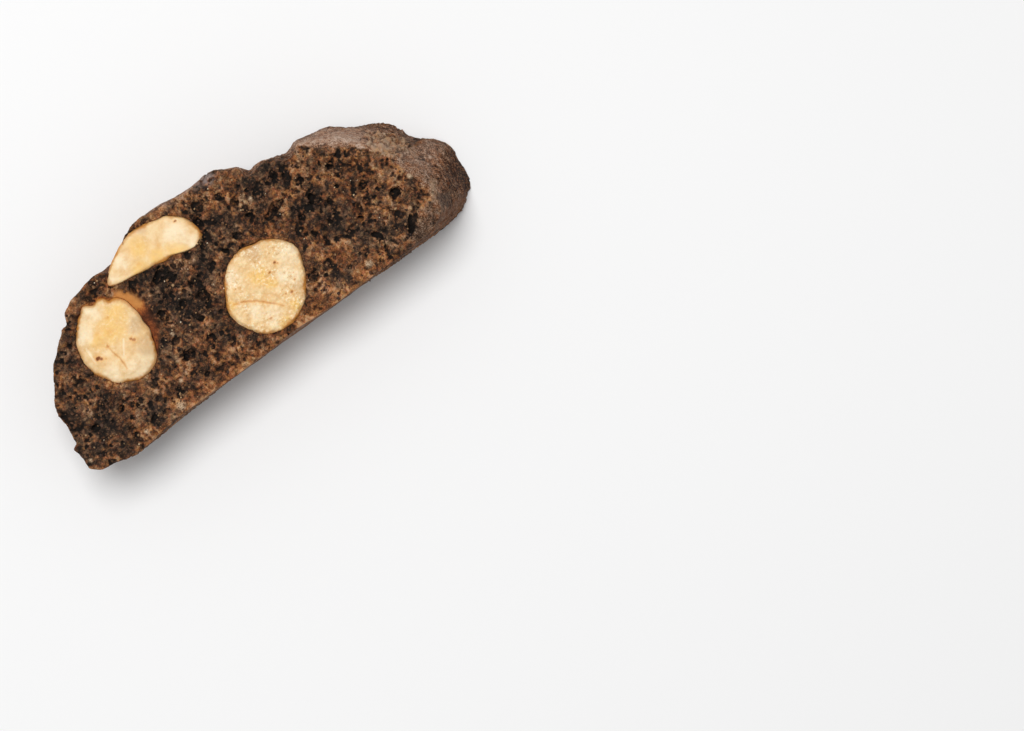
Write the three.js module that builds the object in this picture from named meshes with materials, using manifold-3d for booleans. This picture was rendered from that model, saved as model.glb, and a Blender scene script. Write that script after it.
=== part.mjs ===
// One biscotto: a slice of a twice-baked chocolate loaf with whole hazelnuts in it.
//
// The loaf is low and flat-bottomed, and was cut on the bias, so the slice's two cut faces are
// parallel but its crust leans: the underside lies further right than the upper face.
// Millimetres. +X runs along the loaf's baked base, +Y from that base to the domed top,
// +Z up through the slice, which lies on one cut face. The origin is under its middle.
import * as THREE from "three";
import { ImprovedNoise } from "three/addons/math/ImprovedNoise.js";
import { mergeVertices } from "three/addons/utils/BufferGeometryUtils.js";
import Module from "manifold-3d";

const wasm = await Module();
wasm.setup();

// ---------------------------------------------------------------- driving sizes

const thickness = 14; // between the two cut faces
const biasShift = 6.4; // how far the cut slides the underside along +X
const wallBulge = 0.3; // how far the crust swells out between the faces
const fitGap = 0.3; // between each nut and its pocket

// An outline is four quarter superellipses. Each side has its reach, the height of its widest
// level (`waist`), and how square it is above and below that level, along X and along Y.
const loaf = {
  top: 28.5,
  base: 0,
  right: { reach: 31.7, waist: 4, above: [2.2, 2.0], below: [6, 5] },
  left: { reach: 38.0, waist: 4, above: [2.5, 2.25], below: [6, 5] },
};

// Lobes and folds of the crust. `at` and `width` are degrees round the section (0 right, 90 top,
// 180 left, 270 base); `top` and `under` are the rise at the upper cut and at the underside.
const lobes = [
  { at: 12, width: 9, top: -0.5, under: 0.5 }, // lower lobe of the crust's right end
  { at: 24.5, width: 2.8, top: 0.1, under: -1.6 }, // cleft under the upper lobe
  { at: 34, width: 5, top: 0.1, under: -0.1 },
  { at: 51, width: 9, top: -0.4, under: -1.6 }, // right shoulder, flatter than the rest
  { at: 62, width: 4, top: -1.9, under: -1.4 },
  { at: 71, width: 5, top: -2.1, under: -4.0 }, // sunken stretch where crust broke away
  { at: 77.5, width: 3, top: -1.6, under: 0 },
  { at: 82, width: 6, top: 0, under: -4.2 },
  { at: 101, width: 7, top: 0.6, under: -1.4 }, // hump over the half nut
  { at: 112, width: 4.5, top: -1.7, under: -1.2 }, // saddle beside it
  { at: 127, width: 7, top: 0.2, under: -0.5 },
  { at: 143, width: 11, top: -0.8, under: -1.0 },
  { at: 171, width: 4.2, top: -1.0, under: 0.5 }, // hollow over the torn heel
  { at: 188, width: 8, top: -0.8, under: 0 },
  { at: 200, width: 12, top: 0.6, under: 0 },
  { at: 239, width: 17, top: 1.35, under: 0.2 }, // the base sags at the left
  { at: 341, width: 20, top: -0.7, under: -1.3 }, // worn right heel
];

// Steps where the outline drops at once, as torn crust does.
const ledges = [
  { at: 75.5, width: 1.2, top: 0.6, under: 0 },
  { at: 177, width: 0.6, top: 0.9, under: 0 },
];

const around = 106; // points round the outline
const crowding = 2; // how much closer they stand at a ledge
const rows = 8; // levels up the crust
const crustRelief = [
  { height: 0.5, wave: 8.5 },
  { height: 0.3, wave: 3.1 },
];

// Relief of the upper cut face: long swells, crumb, and hollows where the crumb is loose.
const faceCell = 1.4; // width of one facet
const faceRelief = [
  { height: 0.3, wave: 9 },
  { height: 0.22, wave: 2.9 },
];
const hollows = [
  { x: -10, y: 15, reach: 6, depth: 0.7 },
  { x: 13.2, y: 24.6, reach: 3.2, depth: 1.5 },
  { x: 8, y: 19, reach: 5, depth: 0.5 },
  { x: -16, y: 7, reach: 3.5, depth: 0.4 },
];

// The largest holes in the upper crumb: place, half length, half width, turn in degrees, depth.
const bigHoles = [
  { x: 26.6, y: 8.7, long: 1.3, wide: 1.1, turn: 10, depth: 1.5 },
  { x: 20.8, y: 18.0, long: 0.9, wide: 0.8, turn: 0, depth: 1.2 },
  { x: 20.4, y: 3.2, long: 1.5, wide: 0.5, turn: 80, depth: 1.2 },
  { x: 25.9, y: 3.3, long: 1.7, wide: 0.6, turn: 55, depth: 1.3 },
  { x: 9.6, y: 17.6, long: 2.3, wide: 0.7, turn: 15, depth: 1.2 },
  { x: -11.0, y: 19.4, long: 2.4, wide: 0.9, turn: 12, depth: 1.3 },
  { x: -14.2, y: 14.2, long: 1.0, wide: 1.4, turn: 20, depth: 1.4 },
  { x: -14.6, y: 6.8, long: 1.4, wide: 0.9, turn: 0, depth: 1.3 },
  { x: -7.3, y: 13.2, long: 1.1, wide: 1.3, turn: 30, depth: 1.2 },
  { x: 0.2, y: 25.0, long: 1.2, wide: 0.9, turn: 0, depth: 1.2 },
  { x: -1.0, y: 22.9, long: 0.6, wide: 1.3, turn: 10, depth: 1.2 },
  { x: 15.4, y: 15.6, long: 1.2, wide: 0.7, turn: 60, depth: 1.0 },
  { x: -33.2, y: 6.0, long: 1.0, wide: 0.8, turn: 0, depth: 1.0 },
];

// Smaller holes fall at random: `least` and `most` are half widths.
const upperHoles = { count: 46, least: 0.4, most: 0.9, seed: 11 };
const underHoles = { count: 24, least: 0.5, most: 1.1, seed: 5 };
const holeRoom = 0.4; // crumb left between two holes
const rimRoom = 1.1; // crumb left between a hole and a nut or the crust

// Whole roasted hazelnut kernels, each cut flat by the knife. `side` is 1 at the upper face and
// -1 at the underside, and `lean` shifts the rounded far end so that it stays inside the loaf.
const nuts = [
  {
    name: "nut_left",
    side: 1,
    x: -22.9,
    y: 15.4,
    turn: 0,
    proud: 0.1,
    depth: 6.4,
    leanX: 1,
    leanY: -0.5,
    shape: {
      top: 7.2,
      base: -7.1,
      right: { reach: 5.7, waist: -0.4, above: [2.1, 2.1], below: [2.2, 2.2] },
      left: { reach: 5.8, waist: -0.5, above: [1.8, 1.8], below: [1.7, 1.7] },
    },
    lip: { width: 1.3, depth: 2.2, shiftX: 0.9, shiftY: 0.5 },
  },
  {
    name: "nut_middle",
    side: 1,
    x: 1.7,
    y: 8.7,
    turn: 0,
    proud: 0.2,
    depth: 7.0,
    leanX: 1,
    leanY: 0.6,
    shape: {
      top: 7.1,
      base: -7.1,
      right: { reach: 7.3, waist: 1.5, above: [1.8, 1.8], below: [1.6, 1.6] },
      left: { reach: 7.3, waist: -0.5, above: [1.52, 1.52], below: [2.2, 2.2] },
    },
  },
  {
    name: "nut_half",
    side: 1,
    x: -10.7,
    y: 21.5,
    turn: -8,
    proud: 0.1,
    depth: 6.0,
    leanX: 1,
    leanY: -1.2,
    shape: {
      top: 6.4,
      base: 0,
      right: { reach: 8.5, waist: 2.2, above: [2.3, 2.3], below: [4, 4] },
      left: { reach: 7.7, waist: 0.8, above: [1.5, 1.5], below: [2, 2] },
    },
  },
  {
    name: "nut_under_right",
    side: -1,
    x: 25.0,
    y: 11.0,
    turn: 40,
    proud: 0,
    depth: 6.2,
    leanX: -1.5,
    leanY: 0,
    shape: {
      top: 6.3,
      base: -6.5,
      right: { reach: 6.6, waist: 0.6, above: [2, 2], below: [1.8, 1.8] },
      left: { reach: 6.2, waist: -0.6, above: [2.2, 2.2], below: [1.9, 1.9] },
    },
  },
  {
    name: "nut_under_left",
    side: -1,
    x: -11.2,
    y: 13.5,
    turn: 20,
    proud: 0,
    depth: 4.6,
    leanX: 0.3,
    leanY: 0,
    shape: {
      top: 4.6,
      base: -4.0,
      right: { reach: 6.0, waist: 0, above: [1.7, 1.7], below: [1.9, 1.9] },
      left: { reach: 5.4, waist: 0, above: [2.1, 2.1], below: [2.1, 2.1] },
    },
  },
];
const nutSides = 24;
const nutLevels = 5; // rings from a nut's far end to its cut
const cutBevel = 0.3; // height of the softened rim of the cut
const cutShare = 0.96; // how much of the outline is left flat inside that rim
const overcut = 2; // how far a cutting solid stands out past the face it cuts

// Crushed bits of nut baked into the crumb and the crust.
const chips = [
  { x: -20.2, y: 1.0, size: 1.0 },
  { x: -27.0, y: 0.9, size: 0.6 },
  { x: 7.6, y: 21.2, size: 0.7 },
  { x: 29.6, y: 9.5, size: 0.6 },
  { x: 16.8, y: 2.2, size: 0.9 },
  { x: -17.9, y: 4.3, size: 0.5 },
];

// ---------------------------------------------------------------- small tools

const degree = Math.PI / 180;
const noise = new ImprovedNoise();

function seeded(seed) {
  let state = seed >>> 0;
  return () => {
    state = (state + 0x6d2b79f5) >>> 0;
    let t = Math.imul(state ^ (state >>> 15), 1 | state);
    t = (t + Math.imul(t ^ (t >>> 7), 61 | t)) ^ t;
    return ((t ^ (t >>> 14)) >>> 0) / 4294967296;
  };
}

function solidOf(geometry) {
  const bare = geometry.index ? geometry.toNonIndexed() : geometry.clone();
  for (const name of Object.keys(bare.attributes)) {
    if (name !== "position") bare.deleteAttribute(name);
  }
  const merged = mergeVertices(bare, 1e-4);
  return new wasm.Manifold(
    new wasm.Mesh({
      numProp: 3,
      vertProperties: merged.attributes.position.array,
      triVerts: new Uint32Array(merged.index.array),
    }),
  );
}

function geometryOf(solid) {
  const mesh = solid.getMesh();
  const corners = new Float32Array(mesh.numVert * 3);
  for (let i = 0; i < mesh.numVert; i++) {
    const first = i * mesh.numProp;
    corners.set(mesh.vertProperties.subarray(first, first + 3), i * 3);
  }
  const geometry = new THREE.BufferGeometry();
  geometry.setAttribute("position", new THREE.BufferAttribute(corners, 3));
  geometry.setIndex(new THREE.BufferAttribute(new Uint32Array(mesh.triVerts), 1));
  return geometry;
}

// A closed skin over rings of equal length, listed upwards and each running anticlockwise seen
// from above, with a fan to one point at each end.
function skinOver(rings, firstPoint, lastPoint) {
  const count = rings[0].length;
  const corners = [firstPoint, ...rings.flat(), lastPoint].flat();
  const last = 1 + rings.length * count;
  const faces = [];
  for (let i = 0; i < count; i++) {
    const next = (i + 1) % count;
    faces.push(0, 1 + next, 1 + i);
    for (let r = 0; r + 1 < rings.length; r++) {
      const low = 1 + r * count;
      const high = low + count;
      faces.push(low + i, low + next, high + next, low + i, high + next, high + i);
    }
    const top = 1 + (rings.length - 1) * count;
    faces.push(top + i, top + next, last);
  }
  const geometry = new THREE.BufferGeometry();
  geometry.setAttribute("position", new THREE.Float32BufferAttribute(corners, 3));
  geometry.setIndex(faces);
  return geometry;
}

// ---------------------------------------------------------------- the loaf's outline

// The point of an outline at an angle, on the quarter superellipse which that angle falls in.
function outlinePoint(shape, angle) {
  const c = Math.cos(angle);
  const s = Math.sin(angle);
  const side = c > 0 ? shape.right : shape.left;
  const height = s > 0 ? shape.top - side.waist : side.waist - shape.base;
  const [squareX, squareY] = s > 0 ? side.above : side.below;
  return new THREE.Vector2(
    Math.sign(c) * side.reach * Math.abs(c) ** (2 / squareX),
    side.waist + Math.sign(s) * height * Math.abs(s) ** (2 / squareY),
  );
}

function turnBetween(a, b) {
  return ((((a - b) % 360) + 540) % 360) - 180;
}

// How far the crust stands out of the plain loaf, at a share `low` of the way down the slice.
function crustRise(angle, low) {
  const here = angle / degree;
  let rise = 0;
  for (const lobe of lobes) {
    const away = turnBetween(here, lobe.at) / lobe.width;
    rise += THREE.MathUtils.lerp(lobe.top, lobe.under, low) * Math.exp(-away * away);
  }
  for (const ledge of ledges) {
    const away = turnBetween(here, ledge.at) / ledge.width;
    const drop = Math.exp(-Math.abs(away) / 3) * Math.tanh(away * 2);
    rise += THREE.MathUtils.lerp(ledge.top, ledge.under, low) * drop;
  }
  return rise;
}

// A point of the crust: the plain outline, moved along its normal, and slid by the bias.
function crustPoint(angle, z) {
  const low = 1 - z / thickness;
  const step = 0.01;
  const here = outlinePoint(loaf, angle);
  const along = outlinePoint(loaf, angle + step).sub(outlinePoint(loaf, angle - step)).normalize();
  const belly = wallBulge * Math.sin(Math.PI * THREE.MathUtils.clamp(low, 0, 1));
  const onBase = THREE.MathUtils.smoothstep(-Math.sin(angle), 0.3, 0.9);
  let grain = 0;
  for (const { height, wave } of crustRelief) {
    grain += height * noise.noise(here.x / wave, here.y / wave, z / wave);
  }
  const calm = 1 - 0.6 * onBase; // the base lay on the baking sheet, so it is flatter
  const out = crustRise(angle, low) + (belly + grain) * calm;
  return [here.x + along.y * out + biasShift * low, here.y - along.x * out, z];
}

// Angles that space the outline's points evenly, but closer at each ledge.
function evenAngles(count) {
  const fine = 2000;
  const lengths = [0];
  for (let i = 1; i <= fine; i++) {
    const angle = (i / fine) * 2 * Math.PI;
    const a = outlinePoint(loaf, angle);
    const b = outlinePoint(loaf, angle - (2 * Math.PI) / fine);
    let crowd = 1;
    for (const ledge of ledges) {
      const away = turnBetween(angle / degree, ledge.at) / (2 * ledge.width + 1);
      crowd += crowding * Math.exp(-away * away);
    }
    lengths.push(lengths[i - 1] + a.distanceTo(b) * crowd);
  }
  const angles = [];
  let i = 0;
  for (let k = 0; k < count; k++) {
    const wanted = (k / count) * lengths[fine];
    while (lengths[i + 1] < wanted) i++;
    const share = (wanted - lengths[i]) / (lengths[i + 1] - lengths[i]);
    angles.push(((i + share) / fine) * 2 * Math.PI);
  }
  return angles;
}

// ---------------------------------------------------------------- the slice before its holes

// The crust from the underside up past the upper face, which trims it afterwards.
function leaningSlab() {
  const angles = evenAngles(around);
  const rings = [];
  for (let row = 0; row <= rows; row++) {
    const z = ((thickness + overcut) * row) / rows;
    rings.push(angles.map((angle) => crustPoint(angle, z)));
  }
  const half = loaf.top / 2;
  return solidOf(skinOver(rings, [biasShift, half, 0], [0, half, thickness + overcut]));
}

// Height of the upper cut face. Each layer of noise is cut at its own level.
function faceHeight(x, y) {
  let z = thickness;
  for (const layer of faceRelief) {
    z += layer.height * noise.noise(x / layer.wave, y / layer.wave, layer.wave);
  }
  for (const hollow of hollows) {
    const away = Math.hypot(x - hollow.x, y - hollow.y) / hollow.reach;
    z -= hollow.depth * Math.exp(-away * away);
  }
  return z;
}

// Everything below the upper cut face, as one block with a rough top.
function blockUnderFace() {
  const margin = 3;
  const west = -loaf.left.reach - margin;
  const east = loaf.right.reach + biasShift + margin;
  const north = loaf.top + margin;
  const depth = thickness + margin;
  const block = new THREE.BoxGeometry(
    east - west,
    north + margin,
    depth,
    Math.round((east - west) / faceCell),
    Math.round((north + margin) / faceCell),
    1,
  );
  block.translate((east + west) / 2, (north - margin) / 2, thickness - depth / 2);
  const corner = block.attributes.position;
  for (let i = 0; i < corner.count; i++) {
    if (corner.getZ(i) > thickness / 2) {
      corner.setZ(i, faceHeight(corner.getX(i), corner.getY(i)));
    }
  }
  return solidOf(block);
}

// ---------------------------------------------------------------- hazelnuts

// The outline where the knife cut the nut, moved out by `grow`.
function nutOutline(nut, grow) {
  const points = [];
  for (let i = 0; i < nutSides; i++) {
    points.push(outlinePoint(nut.shape, (i / nutSides) * 2 * Math.PI));
  }
  return points.map((point, i) => {
    const before = points[(i + nutSides - 1) % nutSides];
    const after = points[(i + 1) % nutSides];
    const along = after.clone().sub(before).normalize();
    return point
      .clone()
      .add(new THREE.Vector2(along.y, -along.x).multiplyScalar(grow))
      .rotateAround(new THREE.Vector2(), nut.turn * degree);
  });
}

// One level of a nut or of its pocket: the outline, shrunk, shifted and set at a height.
function nutRing(nut, grow, share, shift, z) {
  return nutOutline(nut, grow).map((point) => [
    nut.x + point.x * share + shift.x,
    nut.y + point.y * share + shift.y,
    z,
  ]);
}

// The nut fills its outline at the cut and rounds off to `depth` inside the slice. Its pocket is
// the same form, grown by `grow`, that runs `past` the face.
function nutSolid(nut, grow = 0, past = 0) {
  const cut = nut.side > 0 ? thickness + nut.proud : 0;
  const levels = [];
  for (let k = 0; k < nutLevels; k++) {
    const turn = (k / nutLevels) * (Math.PI / 2);
    levels.push({
      share: Math.sin(turn),
      shift: new THREE.Vector2(nut.leanX, nut.leanY).multiplyScalar(Math.cos(turn)),
      z: cut - nut.side * (nut.depth + grow) * Math.cos(turn),
    });
  }
  const flat = new THREE.Vector2();
  levels.push({ share: 1, shift: flat, z: cut - nut.side * cutBevel });
  levels.push({ share: past > 0 ? 1 : cutShare, shift: flat, z: cut + nut.side * past });
  const rings = levels
    .slice(1)
    .map((level) => nutRing(nut, grow, level.share, level.shift, level.z));
  const far = [nut.x + levels[0].shift.x, nut.y + levels[0].shift.y, levels[0].z];
  const near = [nut.x, nut.y, cut + nut.side * past];
  if (nut.side > 0) return solidOf(skinOver(rings, far, near));
  return solidOf(skinOver(rings.reverse(), near, far));
}

// Dough that shrank away from a nut, which leaves a lip that slopes down to it.
function lipSolid(nut) {
  const { width, depth, shiftX, shiftY } = nut.lip;
  const pull = new THREE.Vector2(shiftX, shiftY);
  const foot = thickness - depth;
  const head = thickness + overcut;
  const headWidth = (width * (depth + overcut)) / depth;
  const rings = [
    nutRing(nut, 0, 0.9, new THREE.Vector2(), foot),
    nutRing(nut, width, 1, pull, thickness),
    nutRing(nut, headWidth, 1, pull, head),
  ];
  return solidOf(skinOver(rings, [nut.x, nut.y, foot], [nut.x, nut.y, head]));
}

// ---------------------------------------------------------------- holes and chips

// An uneven ball with the half sizes given.
function roughBall(random, half, detail) {
  const ball = mergeVertices(
    new THREE.IcosahedronGeometry(1, detail).deleteAttribute("normal").deleteAttribute("uv"),
    1e-4,
  );
  const corner = ball.attributes.position;
  for (let i = 0; i < corner.count; i++) {
    const swell = 0.85 + 0.3 * random();
    corner.setXYZ(i, corner.getX(i) * swell, corner.getY(i) * swell, corner.getZ(i) * swell);
  }
  ball.scale(half.x, half.y, half.z);
  return ball;
}

// Whether a point lies inside a closed outline, and at least `room` from its corners.
function wellInside(x, y, outline, room) {
  let turns = 0;
  for (let i = 0; i < outline.length; i++) {
    const next = outline[(i + 1) % outline.length];
    const a = new THREE.Vector2(outline[i][0] - x, outline[i][1] - y);
    const b = new THREE.Vector2(next[0] - x, next[1] - y);
    if (a.length() < room) return false;
    turns += Math.atan2(a.cross(b), a.dot(b));
  }
  return turns > Math.PI;
}

// Holes at random places of one face, clear of the nuts, the crust and the holes in `taken`.
function scatteredHoles({ count, least, most, seed }, side, taken) {
  const random = seeded(seed);
  const crust = evenAngles(around).map((angle) => crustPoint(angle, side > 0 ? thickness : 0));
  const flat = new THREE.Vector2();
  const rims = nuts
    .filter((nut) => nut.side === side)
    .map((nut) => nutRing(nut, nut.lip ? nut.lip.width + rimRoom : rimRoom, 1, flat, 0));
  const holes = [];
  while (holes.length < count) {
    const x = THREE.MathUtils.lerp(-loaf.left.reach, loaf.right.reach + biasShift, random());
    const y = THREE.MathUtils.lerp(loaf.base, loaf.top, random());
    const half = THREE.MathUtils.lerp(least, most, random() ** 2);
    const stretch = 1 + 0.7 * random();
    const turn = 180 * random();
    const hole = { x, y, long: half * stretch, wide: half, turn, depth: half * 1.3 };
    const apart = [...taken, ...holes].every(
      (other) => Math.hypot(other.x - x, other.y - y) > other.long + hole.long + holeRoom,
    );
    const overNut = rims.some((rim) => wellInside(x, y, rim, 0));
    if (apart && !overNut && wellInside(x, y, crust, hole.long + rimRoom)) holes.push(hole);
  }
  return holes;
}

function holeSolid(hole, random, side) {
  const detail = hole.long > 1.6 ? 1 : 0; // only the longest holes need a finer ball
  const ball = roughBall(random, { x: hole.long, y: hole.wide, z: hole.depth }, detail);
  ball.rotateZ(hole.turn * degree);
  ball.translate(hole.x, hole.y, side > 0 ? faceHeight(hole.x, hole.y) - 0.1 : 0.1);
  return solidOf(ball);
}

function chipSolid(chip, random) {
  const ball = roughBall(random, { x: chip.size, y: chip.size * 0.8, z: chip.size * 0.7 }, 1);
  ball.translate(chip.x, chip.y, faceHeight(chip.x, chip.y) - chip.size * 0.2);
  return solidOf(ball);
}

// ---------------------------------------------------------------- the dough

function dough() {
  const random = seeded(3);
  const upper = [...bigHoles, ...scatteredHoles(upperHoles, 1, bigHoles)];
  const under = scatteredHoles(underHoles, -1, []);
  let slice = leaningSlab().intersect(blockUnderFace());
  for (const hole of upper) slice = slice.subtract(holeSolid(hole, random, 1));
  for (const hole of under) slice = slice.subtract(holeSolid(hole, random, -1));
  for (const chip of chips) slice = slice.add(chipSolid(chip, random));
  for (const nut of nuts) {
    if (nut.lip) slice = slice.subtract(lipSolid(nut));
    slice = slice.subtract(nutSolid(nut, fitGap, overcut));
  }
  return slice;
}

// ---------------------------------------------------------------- materials and assembly

const chocolateDough = new THREE.MeshStandardMaterial({ color: "#5b4030", roughness: 0.9 });
const nutFlesh = new THREE.MeshStandardMaterial({ color: "#f0cf9c", roughness: 0.6 });

const slice = new THREE.Group();
const body = new THREE.Mesh(geometryOf(dough()), chocolateDough);
body.name = "dough";
slice.add(body);
for (const nut of nuts) {
  const piece = new THREE.Mesh(geometryOf(nutSolid(nut)), nutFlesh);
  piece.name = nut.name;
  slice.add(piece);
}

// The slice is set down with the origin under the middle of its box.
const box = new THREE.Box3().setFromObject(slice);
const middle = box.getCenter(new THREE.Vector3());
slice.position.set(-middle.x, -middle.y, -box.min.z);

const biscotto = new THREE.Group();
biscotto.add(slice);

export default biscotto;
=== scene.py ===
import math

import bpy
import numpy as np
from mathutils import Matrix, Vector, bvhtree, kdtree, noise


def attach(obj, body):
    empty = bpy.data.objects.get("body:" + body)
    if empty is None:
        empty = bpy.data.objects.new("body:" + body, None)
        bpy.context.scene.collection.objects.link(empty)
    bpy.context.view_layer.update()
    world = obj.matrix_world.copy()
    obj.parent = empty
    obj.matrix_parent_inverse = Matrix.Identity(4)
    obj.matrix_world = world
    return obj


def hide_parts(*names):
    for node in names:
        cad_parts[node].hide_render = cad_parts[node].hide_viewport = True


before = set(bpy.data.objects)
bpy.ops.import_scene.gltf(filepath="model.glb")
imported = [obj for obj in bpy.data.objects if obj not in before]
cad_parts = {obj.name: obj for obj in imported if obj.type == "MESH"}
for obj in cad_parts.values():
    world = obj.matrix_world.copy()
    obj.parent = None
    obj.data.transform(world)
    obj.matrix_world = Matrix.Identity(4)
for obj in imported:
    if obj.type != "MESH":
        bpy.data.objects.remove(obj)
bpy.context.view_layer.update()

MM = 0.001  # a millimetre, in Blender's metres


# ---------------------------------------------------------------- the hazelnuts
# Whole roasted hazelnuts, peeled, that the knife cut with the loaf. Each lies in a pocket of the
# dough. Flesh is firm, waxy and cream-white, more golden at the heart and browned at the rim.

def bake_modifiers(piece):
    """Applies every modifier of a piece to its mesh."""
    bpy.context.view_layer.update()
    shaped = piece.evaluated_get(bpy.context.evaluated_depsgraph_get())
    mesh = bpy.data.meshes.new_from_object(shaped)
    piece.modifiers.clear()
    old = piece.data
    piece.data = mesh
    bpy.data.meshes.remove(old)
    mesh.name = piece.name


def fine_skin(node, voxel, rounds, name):
    """A new object with a node's form on an even fine grid, its facets smoothed away."""
    piece = bpy.data.objects.new(name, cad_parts[node].data.copy())
    piece.data.materials.clear()
    bpy.context.scene.collection.objects.link(piece)
    grid = piece.modifiers.new("grid", "REMESH")
    grid.mode = "VOXEL"
    grid.voxel_size = voxel * MM
    soften = piece.modifiers.new("soften", "SMOOTH")
    soften.factor = 0.5
    soften.iterations = rounds
    bake_modifiers(piece)
    return piece


def corners_of(piece):
    """The piece's vertices in millimetres, one row each."""
    flat = np.empty(len(piece.data.vertices) * 3)
    piece.data.vertices.foreach_get("co", flat)
    return flat.reshape(-1, 3) / MM


def normals_of(piece):
    flat = np.empty(len(piece.data.vertices) * 3)
    piece.data.vertices.foreach_get("normal", flat)
    return flat.reshape(-1, 3)


def set_corners(piece, points):
    piece.data.vertices.foreach_set("co", (points * MM).ravel())
    piece.data.update()


def blurred(piece, values, rounds):
    """Values at the vertices, averaged with their neighbours' over and over."""
    ends = np.empty(len(piece.data.edges) * 2, np.int64)
    piece.data.edges.foreach_get("vertices", ends)
    first, second = ends.reshape(-1, 2).T
    count = len(values)
    shares = 1.0 + np.bincount(first, minlength=count) + np.bincount(second, minlength=count)
    columns = np.array(values, float).reshape(count, -1).T
    for _ in range(rounds):
        columns = [(column + np.bincount(first, column[second], count)
                    + np.bincount(second, column[first], count)) / shares for column in columns]
    return np.array(columns).T.reshape(np.shape(values))


def ramp(values, low, high):
    """0 at low, 1 at high, and a smooth rise between them."""
    share = np.clip((values - low) / (high - low), 0, 1)
    return share * share * (3 - 2 * share)


def ripple(points, wave, shift=0.0):
    """Smooth noise from about -1 to 1, with lumps `wave` millimetres apart along each axis."""
    spots = points / np.asarray(wave) + shift
    return np.array([noise.noise(Vector(spot)) for spot in spots])


def spot(points, x, y, reach):
    """1 at a place seen from above, falling to 0 at `reach` millimetres from it."""
    away = np.hypot(points[:, 0] - x, points[:, 1] - y)
    return ramp(away, reach, reach * 0.3)


def near_line(points, line, width):
    """1 on a line through the given corners, falling to 0 at `width` millimetres beside it."""
    best = np.full(len(points), 1e9)
    for start, end in zip(line[:-1], line[1:]):
        start, end = np.array(start), np.array(end)
        step = end - start
        share = np.clip(((points[:, :2] - start) @ step) / max(step @ step, 1e-9), 0, 1)
        gap = points[:, :2] - start - share[:, None] * step
        best = np.minimum(best, np.hypot(*gap.T))
    return np.clip(1 - best / width, 0, 1)


def paint(piece, name, values):
    """Keeps one number for each vertex, which the material reads by its name."""
    layer = piece.data.attributes.new(name, "FLOAT", "POINT")
    layer.data.foreach_set("value", np.asarray(values, np.float32))


def hue(code):
    """An sRGB hex colour as Blender's linear RGBA."""
    shares = [int(code[at:at + 2], 16) / 255 for at in (1, 3, 5)]
    return [share / 12.92 if share <= 0.04045 else ((share + 0.055) / 1.055) ** 2.4
            for share in shares] + [1.0]


def add(material, kind, settings=None, links=None):
    """Adds a node with its settings and links. A setting is a property of the node, the value
    of a socket, or the stops of a colour ramp; a link comes from a node or from its socket.
    A Mix node takes its two colours at sockets 6 and 7 and gives the mixed one at 2."""
    node = material.node_tree.nodes.new("ShaderNode" + kind)
    for name, value in (settings or {}).items():
        if name == "stops":
            stops = node.color_ramp.elements
            while len(stops) < len(value):
                stops.new(0.5)
            for stop, (place, colour) in zip(stops, value):
                stop.position, stop.color = place, hue(colour)
        elif isinstance(name, str) and hasattr(node, name):
            setattr(node, name, value)
        else:
            node.inputs[name].default_value = value
    for name, source in (links or {}).items():
        source = source.outputs[0] if hasattr(source, "outputs") else source
        material.node_tree.links.new(source, node.inputs[name])
    return node


def new_material(name):
    material = bpy.data.materials.new(name)
    material.use_nodes = True
    material.node_tree.nodes.clear()
    return material


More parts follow.
